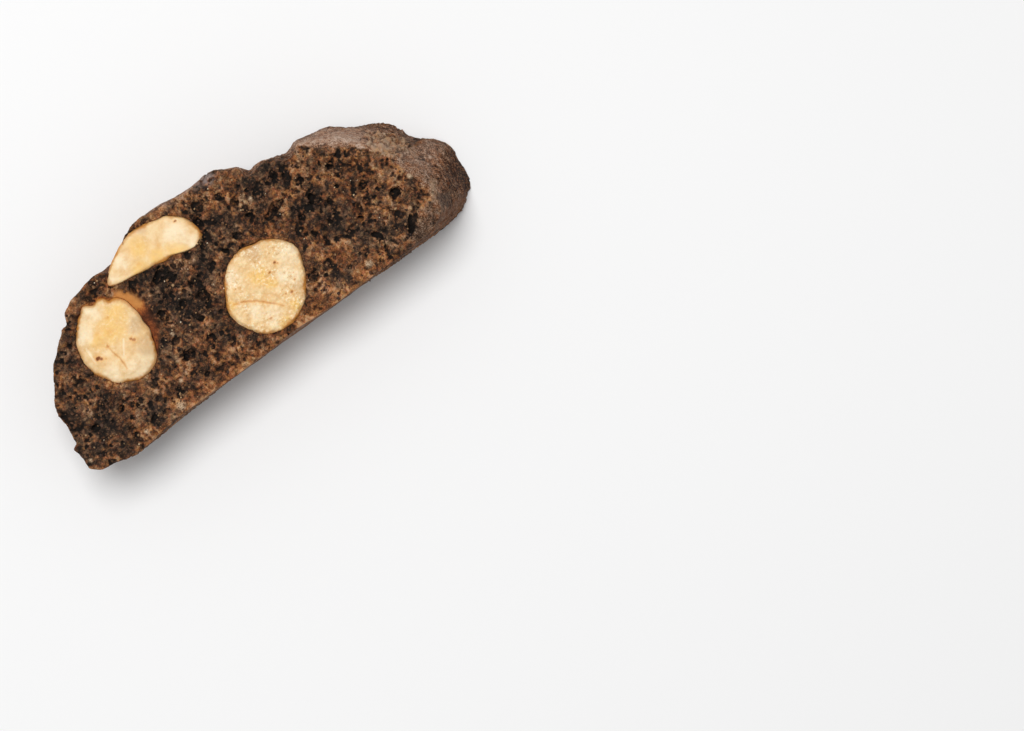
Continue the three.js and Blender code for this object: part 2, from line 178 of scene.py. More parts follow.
# For each nut, with places seen from above in millimetres:
# outline: bulges and dents as angle from the nut's middle, height and half width in degrees
# dome: how far the rim drops below the middle, and how far in from the rim the fall starts
# grainy: how rough the knife left the cut
# gold, pale, dull: where the flesh is richer, whiter or greyer, with reach
# creases: corners of the thin brown lines between the nut's two halves, and how brown
# streaks: corners of thin white lines, and half their width
# specks: brown points with radius, and how brown
nut_marks = {
    "nut_left": {
        "outline": [(97, 0.25, 6), (86, -0.60, 7), (63, -0.45, 5), (42, 0.30, 12),
                    (0, -0.40, 10), (334, -0.35, 18), (256, -0.20, 8), (236, 0.40, 10),
                    (150, 0.25, 12), (175, 0.15, 12), (300, 0.15, 20)],
        "dome": (0.7, 2.8), "grainy": 0.35,
        "gold": [(-22.0, 3.3, 3.4), (-20.4, 4.6, 2.6), (-24.7, 3.0, 1.8)],
        "pale": [(-26.2, 5.3, 2.4), (-23.4, 7.1, 2.0), (-21.9, -4.3, 3.0), (-25.9, -2.4, 2.0),
                 (-25.4, 4.4, 1.0)],
        "dull": [(-18.6, 1.6, 1.8), (-19.2, -2.0, 2.4)],
        "creases": [([(-24.5, 4.6), (-24.5, 2.6), (-24.1, 1.5), (-23.8, -0.4)], 0.25),
                    ([(-24.1, 1.5), (-23.8, -0.4), (-23.6, -1.2), (-23.6, -3.2)], 0.8)],
        "streaks": [([(-27.0, 3.1), (-27.1, 0.5)], 0.25), ([(-21.4, 0.9), (-22.8, -1.1)], 0.2)],
        "specks": [(-26.4, 0.8, 0.50, 1.0), (-26.0, 0.4, 0.38, 0.9), (-25.5, 0.0, 0.28, 0.5),
                   (-20.1, -0.1, 0.42, 0.75), (-20.4, 0.3, 0.32, 0.8), (-24.1, 1.5, 0.36, 0.6),
                   (-24.3, 4.0, 0.45, 0.35), (-22.6, 3.1, 0.60, 0.35), (-21.4, 5.2, 0.32, 0.5)]},
    "nut_middle": {
        "outline": [(75, -0.50, 16), (125, 0.55, 16), (245, 0.30, 20), (212, -0.25, 9),
                    (0, -0.20, 10), (330, -0.15, 18)],
        "dome": (0.35, 1.0), "grainy": 1.0,
        "gold": [(1.7, -3.4, 2.2), (0.9, -11.4, 1.8), (-4.6, -4.4, 1.5), (2.6, -5.4, 1.5),
                 (3.8, -10.4, 1.6)],
        "pale": [(7.4, -3.4, 2.6), (0.1, -9.7, 2.2), (-1.9, -0.9, 2.2), (-1.9, -7.7, 1.8),
                 (5.4, -5.8, 2.4)],
        "dull": [(3.1, 0.4, 2.2), (5.8, -8.4, 1.8), (-3.9, -1.8, 1.2)],
        "creases": [([(-4.1, -4.8), (-2.6, -5.3), (-0.9, -6.3), (0.8, -7.9), (2.2, -9.4)], 0.8)],
        "streaks": [],
        "specks": [(5.0, -3.1, 0.34, 0.9), (5.3, -3.4, 0.2, 0.8), (3.4, -3.9, 0.26, 0.8),
                   (4.5, -8.4, 0.30, 0.8), (3.6, -8.1, 0.24, 0.8), (-2.5, -3.0, 0.20, 0.6),
                   (-0.7, -9.9, 0.30, 0.7), (6.0, -7.1, 0.18, 0.7)]},
    "nut_half": {
        "outline": [(-32, 1.30, 8), (-16, 0.30, 5), (190, 0.55, 6), (-50, -0.35, 10),
                    (-105, -0.30, 20), (0, -0.15, 12), (30, 0.40, 10)],
        "dome": (0.25, 0.8), "grainy": 0.2,
        "gold": [(-12.6, 8.4, 2.0), (-9.5, 8.4, 2.0), (-6.8, 8.1, 1.6), (-11.0, 11.2, 2.4)],
        "pale": [(-17.2, 9.3, 1.6), (-4.3, 7.6, 1.8), (-5.2, 9.8, 2.8), (-14.6, 10.9, 1.6)],
        "dull": [(-9.0, 13.3, 1.2)],
        "creases": [], "streaks": [],
        "specks": [(-4.0, 11.3, 0.22, 0.9), (-8.3, 9.8, 0.40, 0.30), (-11.0, 11.4, 0.35, 0.25),
                   (-12.5, 9.2, 0.40, 0.25)]},
    "nut_under_left": {
        "outline": [(60, 0.40, 12), (200, 0.30, 14), (300, -0.30, 16)],
        "dome": (0.3, 0.9), "grainy": 0.8,
        "gold": [(-11.0, -0.4, 2.4)], "pale": [(-13.9, 1.1, 1.8), (-8.6, -1.6, 1.8)],
        "dull": [(-10.9, 3.0, 1.2)],
        "creases": [([(-13.5, 1.5), (-11.9, 0.5), (-10.6, -0.4), (-9.4, -2.2)], 0.7)],
        "streaks": [],
        "specks": [(-9.2, 1.9, 0.26, 0.8), (-13.0, -2.4, 0.26, 0.8)]},
    "nut_under_right": {
        "outline": [(20, 0.40, 12), (130, -0.30, 16), (250, 0.40, 14)],
        "dome": (0.4, 1.1), "grainy": 0.7,
        "gold": [(25.3, -2.4, 2.6)], "pale": [(22.4, -0.2, 2.2), (27.6, -5.0, 2.2)],
        "dull": [(28.6, -0.4, 1.6)],
        "creases": [([(22.2, -4.4), (23.8, -3.3), (25.6, -2.6), (27.6, -2.3)], 0.7)],
        "streaks": [([(24.6, -5.0), (26.4, -4.4)], 0.25)],
        "specks": [(26.5, -4.9, 0.30, 0.8), (23.4, -0.6, 0.24, 0.8)]},
}

# Roasted hazelnut flesh: waxy and slightly see-through, so light softens inside it. Broken
# cells show white on a rough cut, and oil gives a low satin gloss. The real cells are too fine
# to show, so they are drawn as clusters 0.4 mm wide.
hazelnut = new_material("roasted_hazelnut")
place = add(hazelnut, "TexCoord").outputs["Object"]
share = {name: add(hazelnut, "Attribute", {"attribute_name": name}).outputs["Fac"]
         for name in ("grainy", "gold", "pale", "dull", "edge", "brown")}
clouds = add(hazelnut, "TexNoise",
             {"Scale": 1 / (1.6 * MM), "Detail": 4.0, "Roughness": 0.6}, {"Vector": place})
cells = add(hazelnut, "TexNoise",
            {"Scale": 1 / (0.42 * MM), "Detail": 3.0, "Roughness": 0.65}, {"Vector": place})
flesh = add(hazelnut, "ValToRGB", {"stops": (
    (0.34, "#e0b880"), (0.50, "#eac690"), (0.64, "#f0d3a2"))}, {"Fac": clouds})
# The clouds break up the richer, greyer and whiter places: where on the clouds each starts and
# is full, and the most of its colour.
for name, colour, low, high, most in (("gold", "#f0c268", 0.30, 0.60, 0.75),
                                      ("dull", "#cdab82", 0.35, 0.60, 0.70),
                                      ("pale", "#f6e3bf", 0.35, 0.62, 0.85)):
    streaky = add(hazelnut, "MapRange",
                  {"From Min": low, "From Max": high, "To Min": 0.45 * most, "To Max": most},
                  {"Value": clouds})
    amount = add(hazelnut, "Math", {"operation": "MULTIPLY"}, {0: share[name], 1: streaky})
    flesh = add(hazelnut, "Mix", {"data_type": "RGBA", 7: hue(colour)},
                {0: amount, 6: flesh}).outputs[2]
# On a rough cut, broken cells are white and the chinks between them brown.
for colour, low, high, most in (("#fff0d2", 0.54, 0.66, 0.85), ("#c98f4c", 0.46, 0.34, 0.55)):
    fleck = add(hazelnut, "MapRange",
                {"From Min": low, "From Max": high, "To Max": most}, {"Value": cells})
    amount = add(hazelnut, "Math", {"operation": "MULTIPLY"}, {0: fleck, 1: share["grainy"]})
    flesh = add(hazelnut, "Mix", {"data_type": "RGBA", 7: hue(colour)},
                {0: amount, 6: flesh}).outputs[2]
flesh = add(hazelnut, "Mix", {"data_type": "RGBA", 7: hue("#c4853f")},
            {0: share["edge"], 6: flesh}).outputs[2]
marks_colour = add(hazelnut, "ValToRGB", {"stops": (
    (0.30, "#e09a28"), (0.60, "#be6c0c"), (0.95, "#7a3c00"))}, {"Fac": share["brown"]})
flesh = add(hazelnut, "Mix", {"data_type": "RGBA"},
            {0: share["brown"], 6: flesh, 7: marks_colour}).outputs[2]
rough_cut = add(hazelnut, "Math", {"operation": "MULTIPLY_ADD", 1: 0.6, 2: 0.15},
                {0: share["grainy"]})
bump = add(hazelnut, "Bump", {"Distance": 0.09 * MM}, {"Height": cells, "Strength": rough_cut})
shader = add(hazelnut, "BsdfPrincipled",
             {"Roughness": 0.5, "IOR": 1.45, "Specular IOR Level": 0.3, "Subsurface Weight": 0.2,
              "Subsurface Radius": (1.0, 0.6, 0.35), "Subsurface Scale": 0.6 * MM},
             {"Base Color": flesh, "Normal": bump})
add(hazelnut, "OutputMaterial", {}, {"Surface": shader})

nut_grid = 0.13  # millimetres between the finished nuts' vertices
sector = 5  # degrees of a nut's outline that are measured as one
sectors = 360 // sector
nuts = {}
for node, marks in nut_marks.items():
    nuts[node] = nut = fine_skin(node, nut_grid, 20, "hazel" + node)
    points = corners_of(nut)
    facing = blurred(nut, normals_of(nut), 18)
    facing /= np.linalg.norm(facing, axis=1)[:, None]
    up = 1 if node in ("nut_left", "nut_middle", "nut_half") else -1
    cut = ramp(facing[:, 2] * up, 0.6, 0.9)
    # The marks' places are bent a little, so that none is a clean shape.
    wavy = points + 0.35 * np.stack([ripple(points, 0.9, 1.1), ripple(points, 0.9, 7.7),
                                     np.zeros(len(points))], 1)

    # How far each point lies inside the rim. Smoothing shrank the outline, so it grows back,
    # with the bulges and dents of this nut.
    low, high = points.min(0), points.max(0)
    away = points[:, :2] - (low + high)[:2] / 2
    radius = np.hypot(*away.T)
    outward = away / np.maximum(radius, 0.1)[:, None]
    turn = np.degrees(np.arctan2(away[:, 1], away[:, 0]))
    rim = np.zeros(sectors)
    np.maximum.at(rim, (turn // sector).astype(int) % sectors, radius * (cut > 0.5))
    rim = np.maximum(rim, (np.roll(rim, 1) + np.roll(rim, -1)) / 2)
    ring = np.arange(-1, sectors + 1)
    rim_here = np.interp(turn % 360, (ring + 0.5) * sector, rim[ring % sectors])
    inward = rim_here - radius
    bulge = 0.22 + 0.12 * ripple(points * (1, 1, 0.2), 1.3, 6.6)
    for angle, push, spread in marks["outline"]:
        off = (turn - angle + 180) % 360 - 180
        bulge += push * np.exp(-(off / spread) ** 2)
    points[:, :2] += outward * (bulge * ramp(radius / rim_here, 0.3, 1.0))[:, None]

    drop, reach = marks["dome"]
    top_share = ramp((points[:, 2] - (low + high)[2] / 2) * up, 0.0, (high - low)[2] / 2)
    dome = top_share * drop * np.clip(1 - inward / reach, 0, 1) ** 2
    grooves = np.zeros(len(points))
    straight = points + 0.3 * (wavy - points)
    for line, brown in marks["creases"]:
        grooves = np.maximum(grooves, brown * near_line(straight, line, 0.30))
    specks = np.zeros(len(points))
    for x, y, size, brown in marks["specks"]:
        away = np.hypot((points[:, 0] - x) * 0.8, points[:, 1] - y)
        away += 0.15 * ripple(points, 0.35)
        specks = np.maximum(specks, 0.35 * brown * ramp(away, size * 1.9, size * 0.8))
        specks = np.maximum(specks, brown * ramp(away, size, size * 0.4))
    height = 0.14 * ripple(points, 3.6, 4.4) + 0.03 * ripple(points, 1.1, 8.8)
    height += marks["grainy"] * cut * 0.20 * ripple(points, 0.5, 12.3)
    height -= cut * (0.07 * grooves + 0.03 * specks)
    points += facing * height[:, None]
    points[:, 2] -= up * dome
    points[:, 2] = np.clip(points[:, 2], 0.0, None)
    set_corners(nut, points)
    for name in ("gold", "pale", "dull"):
        amount = np.zeros(len(points))
        for x, y, reach in marks[name]:
            amount = np.maximum(amount, spot(wavy, x, y, reach))
        for line, width in marks["streaks"] if name == "pale" else []:
            amount = np.maximum(amount, ramp(near_line(straight, line, width), 0.0, 0.6))
        paint(nut, name, amount * cut)
    paint(nut, "grainy", (0.3 + 0.7 * ramp(ripple(points, 2.2, 3.3), -0.3, 0.3))
          * marks["grainy"] * cut)
    ragged = inward + 0.2 * ripple(points, 1.2) + 0.25 * ripple(points, 0.45, 4.0)
    browned = 0.3 + 0.7 * ramp(ripple(points, 3.5, 5.0), -0.4, 0.3)
    paint(nut, "edge", browned * ramp(ragged, 0.6, 0.0))
    faint = 0.7 + 0.3 * ramp(ripple(points, 1.6, 2.9), -0.4, 0.4)
    paint(nut, "brown", np.maximum(specks, grooves * faint) * cut)
    nut.data.shade_smooth()
    nut.data.materials.append(hazelnut)
    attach(nut, "root")
    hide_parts(node)


# ---------------------------------------------------------------- the baked slice
# A slice of chocolate biscotti dough, baked as a loaf, cut on the bias and baked again. The two
# cut faces are dry open crumb, full of small holes where the dough rose. The crust is a thin
# matt skin with fine wrinkles, and a torn patch where a lump of the loaf pulled away.

def rim_depth(points):
    """How far each point lies inside the slice's outline at its own height."""
    thick, layers = 0.5, 30  # the slice is measured in layers this thick
    layer = np.clip((points[:, 2] / thick).astype(int), 0, layers - 1)
    depth = np.empty(len(points))
    for level in range(layers):
        here = np.flatnonzero(layer == level)
        if len(here) == 0:
            continue
        flat = points[here, :2]
        centre = (flat.min(0) + flat.max(0)) / 2
        away = flat - centre
        turn = ((np.arctan2(away[:, 1], away[:, 0]) / math.tau) % 1 * 360).astype(int)
        reach = np.zeros(360)
        np.maximum.at(reach, turn, np.hypot(*away.T))
        reach = np.maximum(reach, np.maximum(np.roll(reach, 1), np.roll(reach, -1)))
        depth[here] = reach[turn] - np.hypot(*away.T)
    return depth


def dig(points, tree, fray, drop, centres, sizes, depth_share, chance):
    """Sinks round and oblong holes: the drop near each centre grows to the hole's own depth."""
    for centre, size in zip(centres, sizes):
        turn = chance.uniform(0, math.pi)
        stretch = chance.uniform(1.0, 1.9)
        found = tree.find_range(points[centre] * MM, size * stretch * 1.2 * MM)
        near = np.array([index for _, index, _ in found])
        away = points[near] - points[centre]
        along = away[:, 0] * math.cos(turn) + away[:, 1] * math.sin(turn)
        far = np.sqrt(np.maximum((away ** 2).sum(1) - along ** 2, 0) + (along / stretch) ** 2)
        far = far / size + 1.1 * (fray[near] - fray[centre])
        drop[near] = np.maximum(drop[near], np.clip(1 - far ** 2, 0, 1) * size * depth_share)


thickness = 14.0
grid = 0.17  # millimetres between the slice's vertices, until it is thinned
chance = np.random.default_rng(7)
slice_body = fine_skin("dough", grid, 5, "baked_slice")
points = corners_of(slice_body)
facing = blurred(slice_body, normals_of(slice_body), 40)
facing /= np.linalg.norm(facing, axis=1)[:, None]
# The crust baked to a smooth side, and its edges at the two cuts stay crisp.
inside = ramp(rim_depth(points), 0.5, 1.3)
below_cut = np.minimum(points[:, 2], thickness - points[:, 2])
rounder = (1 - inside) * ramp(below_cut, 0.2, 1.6)
points += (blurred(slice_body, points, 90) - points) * rounder[:, None]

# Bulges and dents the loaf took as it baked: place seen from above, push and reach.
swells = ((16.4, 10.4, -1.1, 1.6), (18.7, 10.5, 0.30, 1.0), (10.1, 11.3, -0.9, 1.2),
          (9.9, 11.0, -0.45, 0.7), (8.9, 12.2, 0.25, 0.9), (0.4, 14.8, -0.55, 3.5),
          (24.1, 8.7, 0.50, 4.2), (35.2, -0.6, 0.45, 2.0), (-27.4, 8.2, -0.5, 0.9),
          (-24.6, 10.6, 0.25, 1.8), (-32.5, 4.5, 0.25, 3.0), (37.5, -4.2, 0.40, 3.0),
          (36.9, -10.8, -0.40, 3.5), (-35.8, -13.3, 0.6, 2.2), (-9.0, 15.0, 0.15, 3.0),
          (34.0, 1.5, -0.50, 1.2), (34.8, -0.7, 0.40, 1.0))
outward = facing[:, :2] / np.maximum(np.hypot(*facing[:, :2].T), 0.5)[:, None]
for x, y, push, reach in swells:
    near = np.exp(-((points[:, 0] - x) ** 2 + (points[:, 1] - y) ** 2) / reach ** 2)
    points[:, :2] += push * near[:, None] * outward
# The fold between the torn lump and the loaf's end is soft.
fold = spot(points, 31.8, -0.4, 4.2)
points += (blurred(slice_body, points, 180) - points) * fold[:, None]

# Smooth shifts with waves of 0.9 mm, and a finer fray, keep each edge below from being a clean
# curve. Without a seed of its own this noise follows the clock, and no two runs are alike.
noise.seed_set(7)
warp = np.array([noise.noise_vector(Vector(place)) for place in points / 0.9])
bent = points + 0.25 * warp
fray = ripple(bent, 0.32, 2.2) + 0.6 * ripple(points, 0.9, 6.1)
upper_side = ramp(points[:, 2], 6.0, 9.0)
# The half nut broke through the loaf's side here, and the dough ends under its edge.
bared = ramp(near_line(points, [(-17.2, 11.1), (-15.0, 12.9), (-13.8, 13.6)], 1.6), 0.0, 0.8)
bared *= upper_side
points[:, :2] += bared[:, None] * (0.45, -0.70)
# Left of the dusty crust the loaf's edge is rough, and its crumb reaches over it.
rough_edge = ramp(points[:, 0] + warp[:, 0], 18.0, 16.5) * upper_side
# At the low right end the crumb was rubbed smooth, and runs into the crust with no edge.
worn = near_line(points + warp, [(32.3, -10.6), (30.5, -11.9), (26.5, -13.6)], 2.6)
worn = ramp(worn, 0.0, 0.5) * upper_side
edge_shift = (0.10 * ripple(points, 1.0) + 0.08 * ripple(points, 2.5) + 0.55 * rough_edge
              + 0.50 * worn)
crumb = np.maximum(inside, ramp(np.abs(facing[:, 2]) + edge_shift, 0.74, 0.86))
# On the right the crust curves over the cut face's edge, from this line on, and drops away.
bend_middle = (14.0, -14.0)
crust_line = np.array([(17.3, 9.9), (19.5, 9.1), (20.5, 8.0), (22.0, 6.8), (24.3, 5.4),
                       (27.4, 2.4), (29.8, -0.4), (31.0, -2.2), (31.5, -4.6), (31.4, -5.9),
                       (30.8, -7.4)]) - bend_middle
away = points[:, :2] - bend_middle
turn = np.arctan2(away[:, 1], away[:, 0])
line_turn = np.arctan2(crust_line[:, 1], crust_line[:, 0])
beyond = np.hypot(*away.T) - np.interp(turn, line_turn[::-1], np.hypot(*crust_line.T)[::-1])
beyond += 0.30 * warp[:, 0] + 0.25 * fray
wide = ramp(np.degrees(turn), 19, 26) * ramp(np.degrees(turn), 84, 78) * upper_side
crumb *= 1 - wide * ramp(beyond, -0.15, 0.25)
points[:, 2] -= 0.5 * wide * np.maximum(beyond, 0) ** 2 / (np.abs(beyond) + 0.8)
# A lump of the loaf tore away here and left a granular patch in the crust.
torn_place = (30.8, 2.8)
away = np.hypot(*(points[:, :2] + 0.8 * warp[:, :2] - torn_place).T)
torn = ramp(away, 4.3, 3.1) * (1 - crumb) * ramp(points[:, 2] + 1.5 * warp[:, 0], 3.5, 6.5)

# How far each point lies from the nearest nut, to 3 mm. The dough closes round the nuts, and
# their oil tints it.
gap = np.full(len(points), 3.0)
left_gap = gap.copy()
scene_now = bpy.context.evaluated_depsgraph_get()
towards = np.zeros((len(points), 3))
for node, nut in nuts.items():
    corners = corners_of(nut)
    near_box = (points > corners.min(0) - 2.9) & (points < corners.max(0) + 2.9)
    kernel = bvhtree.BVHTree.FromObject(nut, scene_now)
    for index in np.flatnonzero(np.all(near_box, axis=1)):
        place, _, _, found = kernel.find_nearest(points[index] * MM)
        found /= MM
        if found < gap[index]:
            gap[index] = found
            towards[index] = place
        if node == "nut_left":
            left_gap[index] = found
towards = (towards / MM - points) / np.maximum(gap, 0.01)[:, None]
closing = np.minimum(0.6 * (1 - gap / 2), gap - 0.05) * (gap < 2) * (gap > 0.05) * (1 - bared)
points += towards * closing[:, None]
oily = ramp(gap + 0.3 * fray, 1.0, 0.15)

# The dough shrank from the left nut and left a smooth lip, baked rusty where it met the nut:
# its width at each angle from the nut's middle.
lip_widths = ((-72, 0.0), (-60, 0.5), (-50, 0.8), (-30, 1.4), (-12, 1.8), (5, 2.0), (21, 2.1),
              (36, 1.75), (48, 1.25), (53, 0.95), (58, 0.8), (90, 0.75), (106, 0.6),
              (120, 0.4), (132, 0.0))
nut_left_middle = (-22.7, 1.5)
away = points[:, :2] - nut_left_middle
turn = np.degrees(np.arctan2(away[:, 1], away[:, 0]))
width = np.interp(turn, *zip(*lip_widths))
lip = ramp((left_gap + 0.2 * fray) / np.maximum(width, 0.05), 1.2, 0.65) * upper_side

# Crushed bits of nut at the surface: place seen from above, and radius. Beside the worn crust
# the knife left a faint pale smear of nut.
nut_bits = ((-20.1, -12.9, 1.0), (-26.9, -13.0, 0.55), (7.7, 7.3, 0.5), (30.2, -4.4, 0.6),
            (16.9, -11.9, 0.8), (-17.8, -9.6, 0.45), (-14.7, -2.9, 0.45), (-4.9, -0.3, 0.25),
            (32.4, 0.5, 0.55), (-36.7, -11.6, 0.4))
smear = [(32.6, -7.1), (31.3, -9.0)]
bits = 0.5 * near_line(points + 0.25 * warp, smear, 0.7)
for x, y, reach in nut_bits:
    bits = np.maximum(bits, spot(points + 0.25 * warp, x, y, reach) * upper_side)

tree = kdtree.KDTree(len(points))
for index, point in enumerate(points * MM):
    tree.insert(point, index)
tree.balance()

# The crumb is denser next to the flat bottom of the loaf. The larger holes of the upper face
# are mostly placed one by one below, so chance adds fewer there.
dense = ramp(points[:, 1], -6.0, -11.0)
open_grain = np.maximum(crumb ** 2 * (1 - 0.4 * dense) * (1 - 0.8 * worn), 1.1 * torn)
fewer = 1 - 0.4 * upper_side
# Pores of the crumb in three sizes, and pinholes of the crust: how many on each square
# millimetre, the smallest and largest radius, the depth as a share of the radius, and where.
pores = ((0.44, 0.14, 0.24, 1.6, open_grain), (0.07, 0.26, 0.42, 1.4, open_grain * fewer),
         (0.009, 0.45, 0.80, 1.2, open_grain * fewer * fewer), (0.16, 0.14, 0.30, 1.1, 1 - crumb))
holes = np.zeros(len(points))
for density, small, large, depth_share, where in pores:
    picked = np.flatnonzero(chance.random(len(points)) < density * grid ** 2 * where)
    sizes = chance.uniform(small, large, len(picked))
    dig(points, tree, fray, holes, picked, sizes, depth_share, chance)

# The large holes of the upper face: the corners each runs through, and half its width.
caves = (
    ([(23.5, 5.8), (22.9, 4.5)], 0.42), ([(20.8, 4.1)], 0.74), ([(20.8, 2.4)], 0.68),
    ([(24.7, 2.4), (24.3, 0.8)], 0.42), ([(22.2, 0.0), (21.5, -1.7)], 0.45),
    ([(20.5, -2.9)], 0.39), ([(23.7, -1.1)], 0.39), ([(27.3, -5.0)], 0.93),
    ([(26.2, -5.8)], 0.55), ([(15.5, 2.6)], 0.75), ([(13.9, 1.1), (15.2, 0.5)], 0.80),
    ([(17.3, -2.5), (16.7, -3.6)], 0.64), ([(14.6, -3.3)], 0.52),
    ([(17.0, -6.6), (15.0, -5.7)], 0.48), ([(12.8, -3.4)], 0.48),
    ([(20.3, -8.6), (21.2, -10.0)], 0.52), ([(22.0, -10.8), (22.5, -12.0)], 0.35),
    ([(20.6, -11.1), (20.2, -13.1)], 0.42),
    ([(27.3, -10.1), (26.3, -11.3), (24.9, -12.2)], 0.52), ([(27.9, -8.8)], 0.48),
    ([(10.2, -4.0)], 0.52), ([(22.1, -4.2)], 0.42), ([(19.9, -7.7)], 0.48),
    ([(23.8, -3.7)], 0.42), ([(28.2, -2.6)], 0.42), ([(16.1, 5.9), (15.2, 4.0)], 0.42),
    ([(12.7, 8.1), (12.3, 7.3)], 0.64), ([(9.6, 7.3)], 0.75), ([(12.4, 4.2)], 0.74),
    ([(11.6, 3.9), (9.8, 3.6), (8.1, 2.7)], 0.61), ([(6.3, 5.4)], 0.75), ([(1.9, 11.2)], 0.70),
    ([(3.8, 9.8)], 0.64), ([(-0.6, 8.7), (0.9, 7.6)], 0.55), ([(-2.0, 7.0), (-3.9, 4.1)], 0.61),
    ([(2.5, 3.8)], 0.64), ([(4.7, 2.4)], 0.48), ([(-0.1, 3.0), (1.3, 3.1)], 0.48),
    ([(-5.6, 6.3)], 0.64), ([(10.4, -9.4)], 0.48), ([(-0.6, 10.4)], 0.48), ([(5.6, 7.8)], 0.48),
    ([(-6.4, -4.5)], 0.48), ([(-8.1, 5.8)], 0.75), ([(-17.3, -5.4)], 0.55),
    ([(-15.1, -6.9)], 0.75), ([(-15.5, -9.6)], 0.70), ([(-12.3, -8.4)], 0.64),
    ([(-16.6, -3.0)], 0.64), ([(-20.7, -11.7)], 0.42), ([(-24.0, -9.8)], 0.48),
    ([(-31.7, -3.1)], 0.48), ([(-32.7, -4.9)], 0.48), ([(-31.9, -6.6)], 0.64),
    ([(-27.5, -9.9)], 0.48), ([(-28.5, -12.3)], 0.48), ([(-35.3, -8.8)], 0.65),
    ([(-34.6, -12.0)], 0.50), ([(-34.0, -0.5)], 0.50), ([(-9.6, -6.7)], 0.60),
)
caved = np.zeros(len(points))
for line, width in caves:
    near = near_line(points + 0.35 * warp, line + line[-1:], 1.5 * width)
    far = 1.5 * (1 - near) + 0.8 * fray + 0.1
    opened = np.clip(1 - np.maximum(far, 0) ** 2, 0, 1) * (near > 0) * crumb * upper_side
    caved = np.maximum(caved, opened)
    holes = np.maximum(holes, opened * (0.25 + 0.5 * width))

# Cracks of the crust with width and depth, and a ridge beside the deepest.
cracks = (
    ([(33.0, -2.9), (33.6, -3.3), (33.8, -3.9)], 0.24, 0.25),
    ([(32.8, 2.7), (32.3, 1.9), (32.1, 1.4)], 0.45, 0.35),
    ([(31.1, 0.9), (30.7, -0.1)], 0.5, 0.35), ([(35.3, -6.2), (35.4, -7.1)], 0.3, 0.3),
    ([(36.7, -8.2), (36.6, -9.1)], 0.4, 0.35), ([(34.4, -10.7), (34.8, -11.6)], 0.35, 0.3),
    ([(29.0, 5.0), (29.6, 4.3)], 0.4, 0.35),
)
split = np.zeros(len(points))
for line, width, depth in cracks:
    sharp = near_line(points + 0.35 * warp, line, width) * (1 - inside) * upper_side
    split = np.maximum(split, sharp)
    holes = np.maximum(holes, sharp * depth)
ridge = near_line(points + 0.4 * warp, [(32.5, 1.0), (32.6, -1.4)], 0.9) * (1 - inside)

# Clumps of crumb with crevices between them, from 1.6 mm down to 0.35 mm, and hollows where
# bigger clumps broke away. The crust has wrinkles that run round the loaf.
clumps = 0.50 * np.abs(ripple(bent, 1.7, 3.1)) + 0.48 * np.abs(ripple(bent, 0.85, 9.4))
clumps += 0.20 * np.abs(ripple(bent, 0.42, 5.2))
hollow = ramp(ripple(bent, 2.1, 21.7) + 0.35 * ripple(bent, 0.6, 1.7), 0.10, 0.70) * 0.80
clumps *= 1 - 0.12 * dense
hollow *= (1 - 0.2 * dense) * (1 - 0.8 * worn)
wrinkle = (0.5 - np.abs(ripple(bent, (3.4, 3.4, 1.1), 13.0))) * 0.30
wrinkle += (0.4 - np.abs(ripple(bent, (1.6, 1.6, 0.7), 17.0))) * 0.14
wrinkle += ripple(points, 3.5, 8.0) * 0.20
base = ramp(-facing[:, 1], 0.5, 0.8)
wrinkle = wrinkle * (1.3 - 0.9 * base) - 0.12 * base
wrinkle += torn * (1.4 * clumps - 0.17) * (0.3 + 0.7 * ramp(facing[:, 2], 0.05, 0.4))
smooth_lip = (1 - 0.75 * lip) * (1 - 0.8 * bits) * (1 - 0.35 * oily) * (1 - 0.7 * worn)
points[:, :2] += 0.24 * warp[:, :2] * (inside * ramp(gap, 0.4, 1.2))[:, None]
height = crumb * smooth_lip * (clumps - hollow - 0.12) + (1 - crumb) * (wrinkle - 0.10)
height += 0.15 * bits + 0.18 * ridge + 0.10 * lip
height *= 1 - 0.9 * np.maximum(bared, spot(points, -13.4, 13.3, 2.6))
height -= holes * smooth_lip + 0.18 * ramp(-facing[:, 2], 0.5, 0.9)
# Crumb goes up and down only, which keeps the knife's edge crisp from above.
heading = facing * (1 - crumb)[:, None]
heading[:, 2] += np.sign(facing[:, 2]) * crumb
heading /= np.linalg.norm(heading, axis=1)[:, None]
moved = points + heading * height[:, None]
moved[:, 2] = np.maximum(moved[:, 2], 0.0)
set_corners(slice_body, moved)

# How far each point stands above the ground round it, near by, further off and far off.
fine, sunk, low_ground = (
    ((moved - blurred(slice_body, moved, rounds)) * facing).sum(1) for rounds in (4, 14, 120))

